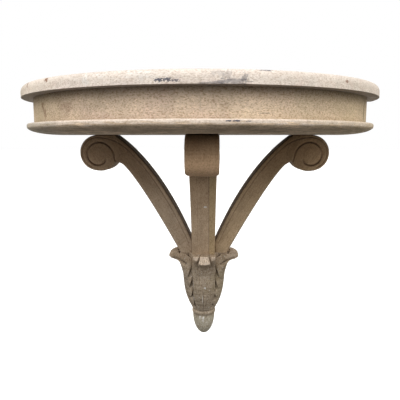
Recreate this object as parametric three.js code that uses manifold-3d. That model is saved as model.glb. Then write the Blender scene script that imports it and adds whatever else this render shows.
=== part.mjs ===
// Carved wooden wall console: a half-oval shelf of three stacked boards on three scroll
// brackets that run down into a carved leaf pendant.
//
// Frame: +X to the right, +Y into the wall, +Z up. The wall face is the plane Y = 0 and the
// origin is the middle of the frieze's back face. All sizes are millimetres.

import * as THREE from 'three';
import { mergeVertices } from 'three/addons/utils/BufferGeometryUtils.js';
import Module from 'manifold-3d';

const wasm = await Module();
wasm.setup();

// Driving dimensions: the boards
const WIDTH = 800;
const DEPTH = 340;
const TOP_THICKNESS = 25;
const TOP_ROUND_RUN = 12;
const TOP_ROUND_RISE = 15;
const TOP_ROUND_STEPS = 6;
const FRIEZE_SETBACK = 25;
const FRIEZE_HEIGHT = 53;
const LIP_SETBACK = 8.5;
const LIP_ROUND = 4;
const LIP_STEPS = 3;
const LOWER_THICKNESS = 23;
const THUMB_RUN = 66;
const THUMB_RISE = 16;
const THUMB_STEPS = 8;
const GLUE_LINE = 0.3;
const OVAL_SIDES = 80;

// Driving dimensions: the scroll brackets, seen from the side. Reach is measured out from the
// pendant's axis, and drop is measured down from the underside of the lower board.
const SUPPORT_SHIFT = 11;
const AXIS_FROM_WALL = 28;
const SIDE_BRACKET = { reach: 242, headThickness: 58, shoulderThickness: 57 };
const CENTRE_BRACKET = { reach: 172, headThickness: 66, shoulderThickness: 62 };
const FOOT_THICKNESS = 52;
const SCROLL_RADIUS = 40.5;
const SCROLL_STEPS = 26;
const NOTCH_SWELL = 5.5;
const NOTCH_ANGLE = THREE.MathUtils.degToRad(202.5);
const PAST_NOTCH = THREE.MathUtils.degToRad(8);
const SWELL_START = 0.6;
const ARM_TOP_SETBACK = 42;
const ARM_TOP_DROP = 0.5;
const ARM_TENON = 14;
const HEAD_TENON = 11;
const ARM_INNER_BEND = { share: 0.44, drop: 70 };
const ARM_INNER_FOOT = { reach: 26.5, drop: 246 };
const ARM_OUTER_BEND = { share: 0.76, drop: 77 };
const ARM_OUTER_FOOT = { reach: 55.5, drop: 275.7 };
const ARM_FOOT_SPARE = 6;
const SEAT_DROP = 272;
const ARM_STEPS = 20;
const CHAMFER_WIDTH = 15;
const CHAMFER_DEPTH = 5.5;
const CHAMFER_FADE = 0.16;
const ARRIS = 2;

// Driving dimensions: the spiral groove on a scroll's face, as turns in degrees and radii
const SPIRAL_DROP = 4;
const SPIRAL = [
  [0, 47], [14, 39], [53, 33.5], [105, 29.5], [165, 26], [225, 23], [310, 22.8], [350, 21.2], [388, 17.3],
];
const GROOVE_HALF_WIDTH = 3.2;
const GROOVE_DEPTH = 4;
const GROOVE_STEPS = 36;
const GROOVE_FADE_STEPS = 6;
const GROOVE_END_SHARE = 0.25;
const GROOVE_OVERSHOOT = 3;
const EYE_RADIUS = 18;
const EYE_RISE = 1;
const EYE_SIDES = 20;
const EYE_STEPS = 4;

// Driving dimensions: the leaf pendant
const CUP_HEIGHT = 144;
const COLLAR_RADIUS = 28.5;
const COLLAR_HEIGHT = 12;
const COLLAR_BEAD = 4;
const COLLAR_STEPS = 6;
const ACORN_RADIUS = 26.5;
const ACORN_HEIGHT = 53;
const ACORN_STEPS = 8;
const BELLY_STEPS = 8;
const PENDANT_SIDES = 28;
const LEAF_RIDGE = 3;
const LEAF_LEAST_RADIUS = 46;
const LOBE_COUNT = 4.5;
const LOBE_OFFSET = 0.5;
const LOBE_RISE = 3;
const TIP_START = 0.74;
const TIP_SLOT = 7;
const TIP_SLOT_WIDTH = 0.1;
const TIP_SLOT_PLACE = 0.5;
const TIP_OUTER_MIDDLE = 0.75;
const TIP_STEP = 0.1;
const TIP_LIFT = 8.5;
const TIP_ROUNDING = 0.55;
const FRONT_LEAF_TURN = 2;
const CUP_PROFILE = [[30, 120], [35.5, 97], [38.5, 75], [41, 53], [42.5, 31], [43, 0]];
const ROOT_HEIGHT = 42;
const ROOT_TAPER = 0.7;

// Corners nearer to each other than this are one corner
const WELD = 1e-4;

// Heights that follow from the stack
const friezeTop = FRIEZE_HEIGHT / 2;
const friezeBottom = -FRIEZE_HEIGHT / 2;
const topUnderside = friezeTop + GLUE_LINE;
const lipTop = friezeBottom - GLUE_LINE;
const lowerUnderside = lipTop - LOWER_THICKNESS;
const bracketTop = lowerUnderside - GLUE_LINE;
const seat = bracketTop - SEAT_DROP;

// Colours of the weathered wood
const TOP_COLOUR = 0xcdbfab;
const FRIEZE_COLOUR = 0xb7a283;
const LOWER_COLOUR = 0xa08a6c;
const BRACKET_COLOUR = 0x84704f;
const PENDANT_COLOUR = 0x82715a;
const WOOD_ROUGHNESS = 0.85;

// A closed solid from any closed geometry, with its corners shared and its faces turned outward
function solid(geometry) {
  const bare = new THREE.BufferGeometry();
  bare.setAttribute('position', geometry.attributes.position.clone());
  if (geometry.index) bare.setIndex(geometry.index.clone());
  const merged = mergeVertices(bare, WELD);
  const place = merged.attributes.position;
  const faces = [];
  let volume = 0;
  for (let i = 0; i < merged.index.count; i += 3) {
    const corners = [0, 1, 2].map((k) => merged.index.getX(i + k));
    if (new Set(corners).size < 3) continue;
    const [a, b, c] = corners.map((k) => new THREE.Vector3().fromBufferAttribute(place, k));
    volume += a.dot(b.cross(c));
    faces.push(corners);
  }
  const outward = volume < 0 ? faces.map(([a, b, c]) => [a, c, b]) : faces;
  return new wasm.Manifold(new wasm.Mesh({
    numProp: 3,
    vertProperties: new Float32Array(place.array),
    triVerts: new Uint32Array(outward.flat()),
  }));
}

// The geometry of a finished solid
function shell(manifold) {
  const mesh = manifold.getMesh();
  const geometry = new THREE.BufferGeometry();
  geometry.setAttribute('position', new THREE.BufferAttribute(mesh.vertProperties, 3));
  geometry.setIndex(new THREE.BufferAttribute(mesh.triVerts, 1));
  geometry.computeVertexNormals();
  return geometry;
}

// A skin over rings of equal point count, with both ends closed rung by rung
function loft(rings) {
  const size = rings[0].length;
  const points = rings.flat();
  const index = [];
  for (let row = 0; row < rings.length - 1; row++) {
    for (let k = 0; k < size; k++) {
      const a = row * size + k;
      const b = row * size + (k + 1) % size;
      index.push(a, b, b + size, a, b + size, a + size);
    }
  }
  const last = (rings.length - 1) * size;
  for (let k = 0; k < Math.floor(size / 2); k++) {
    const [a, b, c, d] = [k, k + 1, size - 2 - k, size - 1 - k];
    index.push(a, c, b, a, d, c);
    index.push(last + a, last + b, last + c, last + a, last + c, last + d);
  }
  const geometry = new THREE.BufferGeometry().setFromPoints(points);
  geometry.setIndex(index);
  return geometry;
}

// A turned solid about +Z from a profile of radius and height
function turned(profile, sides) {
  return new THREE.LatheGeometry(profile, sides).rotateX(Math.PI / 2);
}

// Everything beyond the wall face is cut away
function cutAtWall(body) {
  const wall = new THREE.BoxGeometry(2 * WIDTH, WIDTH, 4 * WIDTH).translate(0, WIDTH / 2, 0);
  return body.subtract(solid(wall));
}

function wood(colour) {
  return new THREE.MeshStandardMaterial({ color: colour, roughness: WOOD_ROUGHNESS, metalness: 0 });
}

function piece(name, body, colour) {
  const mesh = new THREE.Mesh(shell(body), wood(colour));
  mesh.name = name;
  return mesh;
}

// A half-oval board from its edge profile of radius and height
function ovalBoard(profile) {
  const oval = turned(profile, OVAL_SIDES).scale(1, 2 * DEPTH / WIDTH, 1);
  return cutAtWall(solid(oval));
}

// Points on a quarter of an ellipse about a centre, between two angles
function quarter(centreX, centreY, run, rise, from, to, steps) {
  const arc = new THREE.EllipseCurve(centreX, centreY, run, rise, from, to, to < from);
  return arc.getPoints(steps);
}

// Top board: flat underside with a sharp arris, rounded over on its upper edge
function topBoard() {
  const edge = WIDTH / 2;
  const start = edge - TOP_ROUND_RUN;
  const top = topUnderside + TOP_THICKNESS;
  return ovalBoard([
    new THREE.Vector2(0, topUnderside),
    new THREE.Vector2(edge, topUnderside),
    ...quarter(start, top - TOP_ROUND_RISE, TOP_ROUND_RUN, TOP_ROUND_RISE, 0, Math.PI / 2, TOP_ROUND_STEPS),
    new THREE.Vector2(0, top),
  ]);
}

// Frieze: a plain upright face, set back under the top
function frieze() {
  const edge = WIDTH / 2 - FRIEZE_SETBACK;
  return ovalBoard([
    new THREE.Vector2(0, friezeBottom),
    new THREE.Vector2(edge, friezeBottom),
    new THREE.Vector2(edge, friezeTop),
    new THREE.Vector2(0, friezeTop),
  ]);
}

// Lower board: a small rounded lip above a long thumb-shaped underside
function lowerBoard() {
  const edge = WIDTH / 2 - LIP_SETBACK;
  const right = Math.PI / 2;
  return ovalBoard([
    new THREE.Vector2(0, lowerUnderside),
    ...quarter(edge - THUMB_RUN, lowerUnderside + THUMB_RISE, THUMB_RUN, THUMB_RISE, -right, 0, THUMB_STEPS),
    ...quarter(edge - LIP_ROUND, lipTop - LIP_ROUND, LIP_ROUND, LIP_ROUND, 0, right, LIP_STEPS),
    new THREE.Vector2(0, lipTop),
  ]);
}

// A point of a bracket's side view
function onSide(reach, drop) {
  return new THREE.Vector2(reach, bracketTop - drop);
}

function polar(centre, radius, angle) {
  return new THREE.Vector2(centre.x + radius * Math.cos(angle), centre.y + radius * Math.sin(angle));
}

// A curve from a bracket's head to its foot, bent at a share of its reach
function armEdge(top, bend, foot) {
  const reach = THREE.MathUtils.lerp(foot.reach, top.x, bend.share);
  return new THREE.QuadraticBezierCurve(top, onSide(reach, bend.drop), onSide(foot.reach, foot.drop));
}

// A bracket's side view: the roll, the notch under it, and the arm's two long edges down to the foot
function sideView(form) {
  const centre = onSide(form.reach, SCROLL_RADIUS);
  const notch = polar(centre, SCROLL_RADIUS + NOTCH_SWELL, NOTCH_ANGLE);
  const armTop = onSide(form.reach - ARM_TOP_SETBACK, ARM_TOP_DROP);
  return {
    ...form,
    centre,
    inner: armEdge(armTop, ARM_INNER_BEND, ARM_INNER_FOOT),
    outer: armEdge(notch, ARM_OUTER_BEND, ARM_OUTER_FOOT),
  };
}

// One cross-section of the arm: a slim arris inside, and a broad chamfer each side of the front
function armSection(shoulderThickness, inner, outer, along) {
  const across = outer.clone().sub(inner);
  const width = across.length();
  across.normalize();
  const half = THREE.MathUtils.lerp(shoulderThickness, FOOT_THICKNESS, along) / 2;
  const worked = THREE.MathUtils.smoothstep(along, CHAMFER_FADE / 2, CHAMFER_FADE);
  const flat = half - THREE.MathUtils.lerp(ARRIS, CHAMFER_WIDTH, worked);
  const shoulder = width - THREE.MathUtils.lerp(ARRIS, CHAMFER_DEPTH, worked);
  const corners = [
    [ARRIS, -half], [0, ARRIS - half], [0, half - ARRIS], [ARRIS, half],
    [shoulder, half], [width, flat], [width, -flat], [shoulder, -half],
  ];
  return corners.map(([out, side]) => {
    const point = inner.clone().addScaledVector(across, out);
    return new THREE.Vector3(point.x, side, point.y);
  });
}

// The arm is let into the head above, and runs a little past the seat, where it is cut level
function arm({ inner, outer, shoulderThickness }) {
  const tenon = new THREE.Vector2(ARM_TENON, 0);
  const spareDrop = ARM_OUTER_FOOT.drop + ARM_FOOT_SPARE;
  const spareInner = onSide(ARM_INNER_FOOT.reach, spareDrop);
  const spareOuter = onSide(ARM_OUTER_FOOT.reach - ARM_FOOT_SPARE / 2, spareDrop);
  const pairs = [[inner.getPoint(0).add(tenon), outer.getPoint(0).add(tenon), 0]];
  for (let step = 0; step <= ARM_STEPS; step++) {
    const along = step / ARM_STEPS;
    pairs.push([inner.getPoint(along), outer.getPoint(along), along]);
  }
  pairs.push([spareInner, spareOuter, 1]);
  return solid(loft(pairs.map((pair) => armSection(shoulderThickness, ...pair))));
}

// The head: the flat top under the board and the roll of the scroll, round to the notch
function head({ centre, reach, headThickness }) {
  const outline = new THREE.Shape();
  const top = onSide(reach - ARM_TOP_SETBACK, 0);
  const inArm = onSide(reach - ARM_TOP_SETBACK - HEAD_TENON, SCROLL_RADIUS);
  outline.moveTo(top.x, top.y);
  outline.lineTo(centre.x, top.y);
  const sweep = 2 * Math.PI + Math.PI / 2 - NOTCH_ANGLE + PAST_NOTCH;
  for (let step = 1; step <= SCROLL_STEPS; step++) {
    const share = step / SCROLL_STEPS;
    const swell = NOTCH_SWELL * THREE.MathUtils.smoothstep(share, SWELL_START, 1);
    const point = polar(centre, SCROLL_RADIUS + swell, Math.PI / 2 - sweep * share);
    outline.lineTo(point.x, point.y);
  }
  outline.lineTo(inArm.x, inArm.y);
  const block = new THREE.ExtrudeGeometry(outline, { depth: headThickness, bevelEnabled: false });
  block.translate(0, 0, -headThickness / 2).rotateX(Math.PI / 2);
  return solid(block);
}

// The middle of the spiral sits a little below the middle of the roll
function spiralCentre({ centre }) {
  return new THREE.Vector2(centre.x, centre.y - SPIRAL_DROP);
}

// The spiral groove starts at the notch, runs over the roll and curls in to the eye
function groove(view, side) {
  const rings = [];
  const face = view.headThickness / 2;
  const spiral = new THREE.SplineCurve(SPIRAL.map(([turn, radius]) => new THREE.Vector2(turn, radius)));
  for (let step = 0; step <= GROOVE_STEPS; step++) {
    const { x: turn, y: radius } = spiral.getPoint(step / GROOVE_STEPS);
    const angle = NOTCH_ANGLE + THREE.MathUtils.degToRad(GROOVE_OVERSHOOT - turn);
    const ending = GROOVE_FADE_STEPS * (1 - step / GROOVE_STEPS);
    const fade = Math.min(1, GROOVE_END_SHARE + ending);
    const lips = [
      [radius - GROOVE_HALF_WIDTH * fade, face + EYE_RISE],
      [radius, face - GROOVE_DEPTH * fade],
      [radius + GROOVE_HALF_WIDTH * fade, face + EYE_RISE],
    ];
    rings.push(lips.map(([out, depth]) => {
      const point = polar(spiralCentre(view), out, angle);
      return new THREE.Vector3(point.x, side * depth, point.y);
    }));
  }
  return solid(loft(rings));
}

// The eye of the scroll: a low dome on the face
function eye(view, side) {
  const dome = [new THREE.Vector2(0, -EYE_RISE)];
  dome.push(new THREE.Vector2(EYE_RADIUS, -EYE_RISE));
  dome.push(...quarter(0, 0, EYE_RADIUS, EYE_RISE, 0, Math.PI / 2, EYE_STEPS));
  const boss = new THREE.LatheGeometry(dome, EYE_SIDES);
  if (side < 0) boss.rotateX(Math.PI);
  const middle = spiralCentre(view);
  boss.translate(middle.x, side * view.headThickness / 2, middle.y);
  return solid(boss);
}

// A whole bracket in its side view, with the carving on the faces named
function bracket(form, carvedFaces) {
  const view = sideView(form);
  let body = head(view).add(arm(view));
  for (const side of carvedFaces) body = body.add(eye(view, side)).subtract(groove(view, side));
  return body;
}

// The centre bracket's foot runs back to the wall between the two side brackets
function centreFoot() {
  const front = ARM_INNER_FOOT.reach + ARRIS;
  const back = AXIS_FROM_WALL + ARRIS;
  const height = SEAT_DROP - ARM_INNER_FOOT.drop + ARM_FOOT_SPARE;
  const block = new THREE.BoxGeometry(front + back, FOOT_THICKNESS - ARRIS, height);
  block.translate((front - back) / 2, 0, seat - ARM_FOOT_SPARE + height / 2);
  return solid(block);
}

// A bracket that has been turned and set in its place about the pendant's axis
function placed(body, turnDegrees) {
  return body.rotate([0, 0, turnDegrees]).translate([SUPPORT_SHIFT, -AXIS_FROM_WALL, 0]);
}

// Feet are cut off level on the seat
function levelled(body) {
  const below = new THREE.BoxGeometry(WIDTH, WIDTH, WIDTH).translate(0, 0, seat + GLUE_LINE - WIDTH / 2);
  return body.subtract(solid(below));
}

// Side brackets lie along the wall and butt against the centre bracket's foot
function sideBracket(direction) {
  const carved = bracket(SIDE_BRACKET, [-direction]);
  return cutAtWall(levelled(placed(carved, direction > 0 ? 0 : 180)));
}

function centreBracket() {
  const body = bracket(CENTRE_BRACKET, [-1, 1]).add(centreFoot());
  return cutAtWall(levelled(placed(body, -90)));
}

// A line of the pendant's side view, as radius and depth below the seat
function pendantLine(points) {
  return new THREE.SplineCurve(points.map(([radius, drop]) => new THREE.Vector2(radius, seat - drop)));
}

// Pendant core: a cup that narrows to the collar, with an acorn below it
function pendantCore() {
  const acornTop = seat - CUP_HEIGHT - COLLAR_HEIGHT;
  const neck = COLLAR_RADIUS - COLLAR_BEAD;
  const halfBead = COLLAR_HEIGHT / 2;
  const right = Math.PI / 2;
  const belly = pendantLine([[neck, CUP_HEIGHT], ...CUP_PROFILE]);
  const profile = [
    ...quarter(0, acornTop, ACORN_RADIUS, ACORN_HEIGHT, -right, 0, ACORN_STEPS),
    ...quarter(neck, acornTop + halfBead, COLLAR_BEAD, halfBead, -right, right, COLLAR_STEPS),
    ...belly.getPoints(BELLY_STEPS).slice(1),
    new THREE.Vector2(0, seat),
  ];
  return solid(turned(profile, PENDANT_SIDES));
}

// The roots that carry the arms on down into the cup, tapered as they go
function armRoots(fromReach, toReach) {
  const half = FOOT_THICKNESS / 2;
  const ring = (drop, taper) => [
    new THREE.Vector3(fromReach * taper, -half * taper, seat - drop),
    new THREE.Vector3(toReach * taper, -half * taper, seat - drop),
    new THREE.Vector3(toReach * taper, half * taper, seat - drop),
    new THREE.Vector3(fromReach * taper, half * taper, seat - drop),
  ];
  return solid(loft([ring(0, 1), ring(ROOT_HEIGHT, ROOT_TAPER)]));
}

// Where a place lies within its lobe: 0 at the cut below the lobe, up to 1 at the cut above
function placeInLobe(along) {
  const place = LOBE_COUNT * Math.min(1, along / TIP_START) + LOBE_OFFSET;
  return place - Math.floor(place);
}

// How broad a leaf is along its length: lobes down both edges, then a narrower tip
function leafHalfWidth(along, { breadth, tipBreadth, scallop }) {
  const lobe = Math.sqrt(Math.sin(Math.PI * placeInLobe(along)));
  const edge = breadth * (1 - scallop * (1 - lobe));
  return THREE.MathUtils.lerp(edge, tipBreadth, THREE.MathUtils.smoothstep(along, TIP_START, 1));
}

// How far the tip's edge stands above its lowest point: three rounded lobes, the outer two higher
function tipRise(across) {
  const aside = Math.abs(across);
  const inOuter = aside > TIP_SLOT_PLACE;
  const middle = inOuter ? TIP_OUTER_MIDDLE : 0;
  const reach = inOuter ? 1 - TIP_OUTER_MIDDLE : TIP_SLOT_PLACE;
  const step = THREE.MathUtils.smoothstep(aside, TIP_SLOT_PLACE - TIP_STEP, TIP_SLOT_PLACE + TIP_STEP);
  return step + TIP_ROUNDING * Math.pow((aside - middle) / reach, 2);
}

// How deep the slot each side of the tip's middle lobe is
function tipSlot(across) {
  return TIP_SLOT * Math.exp(-Math.pow((Math.abs(across) - TIP_SLOT_PLACE) / TIP_SLOT_WIDTH, 2));
}

// One leaf: a thick blade between an outer and an inner line, wrapped round the cup and flatter at
// its tip. Each lobe stands proud of the one below it. The tip has three lobes of its own, with a
// slot each side of the middle one and the outer two held higher.
function leaf(form, turnDegrees) {
  const turn = THREE.MathUtils.degToRad(turnDegrees);
  const facing = new THREE.Vector2(Math.sin(turn), -Math.cos(turn));
  const rings = [];
  for (let step = 0; step <= form.steps; step++) {
    const along = step / form.steps;
    const half = leafHalfWidth(along, form);
    const tip = THREE.MathUtils.smoothstep(along, TIP_START, 1);
    const at = (line, across, relief, lift) => {
      const point = line.getPointAt(along);
      const radius = point.x + relief - tip * tipSlot(across);
      const angle = across * half / Math.max(point.x, LEAF_LEAST_RADIUS);
      const out = THREE.MathUtils.lerp(radius * Math.cos(angle), radius, tip);
      const aside = THREE.MathUtils.lerp(radius * Math.sin(angle), across * half, tip);
      const height = point.y + lift * tip * tipRise(across);
      return new THREE.Vector3(
        out * facing.x - aside * facing.y,
        out * facing.y + aside * facing.x,
        height,
      );
    };
    const outside = [];
    const inside = [];
    for (let column = 0; column <= form.columns; column++) {
      const across = 2 * column / form.columns - 1;
      const ridge = -LEAF_RIDGE * across * across;
      const rise = form.rise * (1 - placeInLobe(along)) * (1 - tip) * across * across;
      outside.push(at(form.outer, across, ridge + rise, form.lift));
      inside.unshift(at(form.inner, across, 0, 0));
    }
    rings.push([...outside, ...inside]);
  }
  return solid(loft(rings));
}

const frontLeaf = {
  outer: pendantLine([
    [29.5, 143], [40.5, 120], [47, 97], [50.5, 75], [53, 53], [60, 33], [69, 24], [79, 19], [83, 15],
  ]),
  inner: pendantLine([
    [18, 142], [26, 120], [32, 97], [35, 75], [38, 53], [41, 30], [43, 14], [51, 4], [61, 3],
    [65.5, -6], [73, -6], [82, -3],
  ]),
  breadth: 29,
  tipBreadth: 25,
  scallop: 0.06,
  rise: 0,
  lift: TIP_LIFT,
  steps: 18,
  columns: 12,
};
const sideLeaf = {
  outer: pendantLine([
    [28, 143], [39, 120], [45.8, 97], [48.8, 75], [51.3, 53], [59, 32], [66, 24], [77.5, 19.5], [83.5, 13],
  ]),
  inner: pendantLine([
    [18, 142], [25, 120], [31, 97], [34, 75], [37, 53], [40, 30], [43, 14], [51, 4], [61, 3],
    [66, -6.5], [75.5, -1.5], [82.5, 8],
  ]),
  breadth: 41,
  tipBreadth: 20,
  scallop: 0.3,
  rise: LOBE_RISE,
  lift: 0,
  steps: 33,
  columns: 8,
};

// Leaf pendant: broad lobed leaves to both sides, with the front leaf laid over their edges
function leafPendant() {
  const reach = ARM_OUTER_FOOT.reach;
  let body = pendantCore().add(armRoots(-reach, reach)).add(armRoots(0, reach).rotate([0, 0, -90]));
  for (const turn of [-90, 90]) body = body.add(leaf(sideLeaf, turn));
  body = body.add(leaf(frontLeaf, FRONT_LEAF_TURN));
  return cutAtWall(body.translate([SUPPORT_SHIFT, -AXIS_FROM_WALL, 0]));
}

const wallConsole = new THREE.Group();
wallConsole.add(piece('top_board', topBoard(), TOP_COLOUR));
wallConsole.add(piece('frieze', frieze(), FRIEZE_COLOUR));
wallConsole.add(piece('lower_board', lowerBoard(), LOWER_COLOUR));
wallConsole.add(piece('left_bracket', sideBracket(-1), BRACKET_COLOUR));
wallConsole.add(piece('centre_bracket', centreBracket(), BRACKET_COLOUR));
wallConsole.add(piece('right_bracket', sideBracket(1), BRACKET_COLOUR));
wallConsole.add(piece('leaf_pendant', leafPendant(), PENDANT_COLOUR));

export default wallConsole;
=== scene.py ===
"""Carved wooden wall console: a half-oval shelf on three scroll brackets and a leaf pendant."""

import math
from collections import namedtuple

import bpy
import numpy as np
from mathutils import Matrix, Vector, noise
from mathutils.kdtree import KDTree


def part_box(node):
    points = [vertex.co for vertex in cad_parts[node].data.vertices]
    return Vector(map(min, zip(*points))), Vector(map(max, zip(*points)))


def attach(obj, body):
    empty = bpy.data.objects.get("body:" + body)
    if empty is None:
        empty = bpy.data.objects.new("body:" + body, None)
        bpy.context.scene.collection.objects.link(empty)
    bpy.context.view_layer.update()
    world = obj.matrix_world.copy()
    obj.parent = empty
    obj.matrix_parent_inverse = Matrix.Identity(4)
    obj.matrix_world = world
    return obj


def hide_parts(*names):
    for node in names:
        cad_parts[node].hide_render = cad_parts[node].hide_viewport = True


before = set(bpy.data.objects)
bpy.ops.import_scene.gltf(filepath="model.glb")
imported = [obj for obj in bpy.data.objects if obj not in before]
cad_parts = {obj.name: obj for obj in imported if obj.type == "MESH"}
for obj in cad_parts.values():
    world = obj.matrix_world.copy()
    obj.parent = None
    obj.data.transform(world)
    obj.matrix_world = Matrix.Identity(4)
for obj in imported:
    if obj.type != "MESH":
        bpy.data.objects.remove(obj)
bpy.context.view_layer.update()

bl_info = {
    "name": "Carved Wall Console",
    "version": (1, 0, 0),
    "blender": (4, 5, 0),
    "location": "View3D > Sidebar > Console",
    "description": "Dresses the wall console's boards, scroll brackets and leaf pendant",
    "category": "Object",
}

# Places taken from the frame: X along the wall, Y into it, Z up, in metres
MM = 0.001
TOP_LOW, TOP_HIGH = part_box("top_board")
FRIEZE_LOW, FRIEZE_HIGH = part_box("frieze")
LOWER_LOW, LOWER_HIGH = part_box("lower_board")
BRACKET_LOW, BRACKET_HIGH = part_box("right_bracket")
PENDANT_LOW, PENDANT_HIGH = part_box("leaf_pendant")
SUPPORT_X = (PENDANT_LOW.x + PENDANT_HIGH.x) / 2
AXIS_Y = -28 * MM
PLAN_RATIO = -TOP_LOW.y / TOP_HIGH.x
BRACKET_TOP = BRACKET_HIGH.z
SEAT_Z = BRACKET_LOW.z
COLLAR_Z = PENDANT_LOW.z + 56 * MM


def linear(hex_colour):
    """An sRGB hex colour as linear red, green and blue."""
    parts = [int(hex_colour[i:i + 2], 16) / 255 for i in (0, 2, 4)]
    return tuple(c / 12.92 if c <= 0.04045 else ((c + 0.055) / 1.055) ** 2.4 for c in parts)


def length(name, description, millimetres):
    """A property that holds a length."""
    return bpy.props.FloatProperty(
        name=name, description=description, default=millimetres * MM, unit="LENGTH", precision=5
    )


def colour(name, description, hex_colour):
    """A property that holds a colour."""
    return bpy.props.FloatVectorProperty(
        name=name, description=description, default=linear(hex_colour), subtype="COLOR", min=0, max=1
    )


class ConsoleBoardSizes(bpy.types.PropertyGroup):
    """Sizes of the three half-oval boards."""

    rim_sides: bpy.props.IntProperty(name="Rim sides", description="Facets round a full oval", default=720)
    top_round_run: length("Top round run", "How far in the top's rounded edge reaches", 12)
    top_round_rise: length("Top round rise", "Height of the top's rounded edge", 15)
    lip_round: length("Lip round", "Radius on the lower board's upper lip", 4)
    thumb_run: length("Thumb run", "How far in the lower board's rounded underside reaches", 66)
    thumb_rise: length("Thumb rise", "Height of the lower board's rounded underside", 16)
    edge_wear: length("Edge wear", "Deepest wear along the top's edge", 0.9)
    lip_wear: length("Lip wear", "Deepest wear along the lower board's lip", 2.4)


class ConsoleCarvingSizes(bpy.types.PropertyGroup):
    """Sizes of the carving on the brackets and the pendant."""

    grid: length("Grid", "Mesh spacing on the carved pieces", 1.05)
    arm_inset: length("Arm inset", "Distance of the incised line from the arm's upper edge", 9)
    roll_inset: length("Roll inset", "Distance of the incised line from the scroll's rim", 5.5)
    line_width: length("Line width", "Half width of the incised lines", 2.2)
    line_depth: length("Line depth", "Depth of the incised lines", 0.9)
    front_line: length("Front line", "Distance of the front's incised lines from its middle", 12.5)
    front_depth: length("Front depth", "Depth of the front's incised lines", 0.4)
    corner_round: length("Corner round", "Rounding of the scrolls' lower corners", 7)
    flute_depth: length("Flute depth", "Depth of the flutes on the front leaf", 0.6)
    flute_width: length("Flute width", "Half width of the flutes on the front leaf", 1.5)
    crease_depth: length("Crease depth", "Depth of the crease under each curl", 3)
    crease_width: length("Crease width", "Half width of the crease under each curl", 3.4)
    foot_bed: length("Foot bed", "How far the arms' feet run down into the pendant", 2.5)
    curl_draw: length("Curl draw", "How far the backs of the curls are drawn in to the arms", 3)


class ConsoleColours(bpy.types.PropertyGroup):
    """Colours of the weathered wood."""

    top: colour("Top", "Limed wood of the top board", "ede1d5")
    frieze: colour("Frieze", "Bleached wood of the frieze", "dfc9b0")
    lip: colour("Lip", "Worn lip of the lower board", "e2d3c4")
    lower: colour("Lower board", "Bare wood of the lower board's underside", "e8cfb2")
    bracket: colour("Brackets", "Grey-brown wood of the brackets", "b39d84")
    pendant: colour("Pendant", "Grey-brown wood of the pendant", "a99a87")
    bare: colour("Bare tip", "Raw wood on the broken leaf tip", "e0cdb8")
    # Also laid as painted shade along the frieze, under the top board and down by the lower board's lip
    dirt_and_shade: colour("Dirt", "Old dirt in the hollows", "2e2013")
    # Laid as painted shade on the boards' undersides, and as grimy wood with painted shade where the brackets
    # face up
    grime: colour("Grime", "Old grime where the brackets face up", "49341c")
    ink: colour("Ink", "Blue-black stains on the edges", "3a3f52")
    # Laid as browner wood with painted shade, darkest towards the scrolls under the boards
    umber: colour("Umber", "Darker brown wood near the scrolls", "8f6c46")
    rust: colour("Rust", "Reddish-brown chips and streaks", "7a5138")
    olive: colour("Olive", "Yellowed wood towards the ends of the boards", "bfae86")
    blush: colour("Blush", "Pinkish lime left on the boards", "dcc0b0")
    silver: colour("Silver", "Weathered grey at the left end of the boards and on the acorn", "aaa798")
    paint: colour("Paint", "Specks of old white paint", "e9e7e2")
    floor: colour("Floor", "Plain pale floor", "f4f4f2")


class ConsoleStageSizes(bpy.types.PropertyGroup):
    """Where the camera stands and how bright the light is."""

    camera_x: length("Camera across", "Camera's place along the wall", 30)
    camera_y: length("Camera out", "Camera's distance from the wall", 1050)
    camera_z: length("Camera height", "Camera's height above the frieze's middle", -61.2)
    pitch: bpy.props.FloatProperty(name="Pitch", description="Downward tilt", default=0.1371, subtype="ANGLE")
    yaw: bpy.props.FloatProperty(name="Yaw", description="Turn to the left", default=0.0276, subtype="ANGLE")
    lens: bpy.props.FloatProperty(name="Lens", description="Focal length in millimetres", default=39.25)
    floor_drop: length("Floor drop", "Floor below the pendant's tip", 900)
    sky: bpy.props.FloatProperty(name="Sky", description="Brightness straight above", default=3.5)
    horizon: bpy.props.FloatProperty(name="Horizon", description="Brightness at eye level", default=0.7)
    ground: bpy.props.FloatProperty(name="Ground", description="Brightness from below", default=0.1)
    behind: bpy.props.FloatProperty(name="Behind", description="Share of light from behind", default=0.3)
    left: bpy.props.FloatProperty(name="Left", description="Extra share of light from the left", default=0.1)


def settings(context):
    """The console's settings on the scene."""
    return context.scene.carved_console


# Meshes

SMOOTH_ANGLE = math.radians(40)
SMOOTH_FACTOR = 0.5
WELD = 1e-6


def deselect():
    """Nothing is left selected before a new piece is made."""
    if bpy.context.object and bpy.context.object.mode != "OBJECT":
        bpy.ops.object.mode_set(mode="OBJECT")
    bpy.ops.object.select_all(action="DESELECT")


def pick(piece):
    """Only this piece is selected, and it is active."""
    deselect()
    piece.select_set(True)
    bpy.context.view_layer.objects.active = piece


def apply_modifier(piece, kind, **values):
    """Adds a modifier to a piece and applies it."""
    modifier = piece.modifiers.new(kind.title(), kind)
    for key, value in values.items():
        setattr(modifier, key, value)
    pick(piece)
    bpy.ops.object.modifier_apply(modifier=modifier.name)


def finish_piece(piece, node, material):
    """A finished piece stands for its node, rides on the body and wears its material."""
    piece.data.materials.clear()
    piece.data.materials.append(material)
    pick(piece)
    bpy.ops.object.shade_smooth_by_angle(angle=SMOOTH_ANGLE)
    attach(piece, "root")
    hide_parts(node)


def places(mesh):
    """The vertices of a mesh as rows of coordinates."""
    flat = np.empty(len(mesh.vertices) * 3)
    mesh.vertices.foreach_get("co", flat)
    return flat.reshape(-1, 3)


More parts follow.
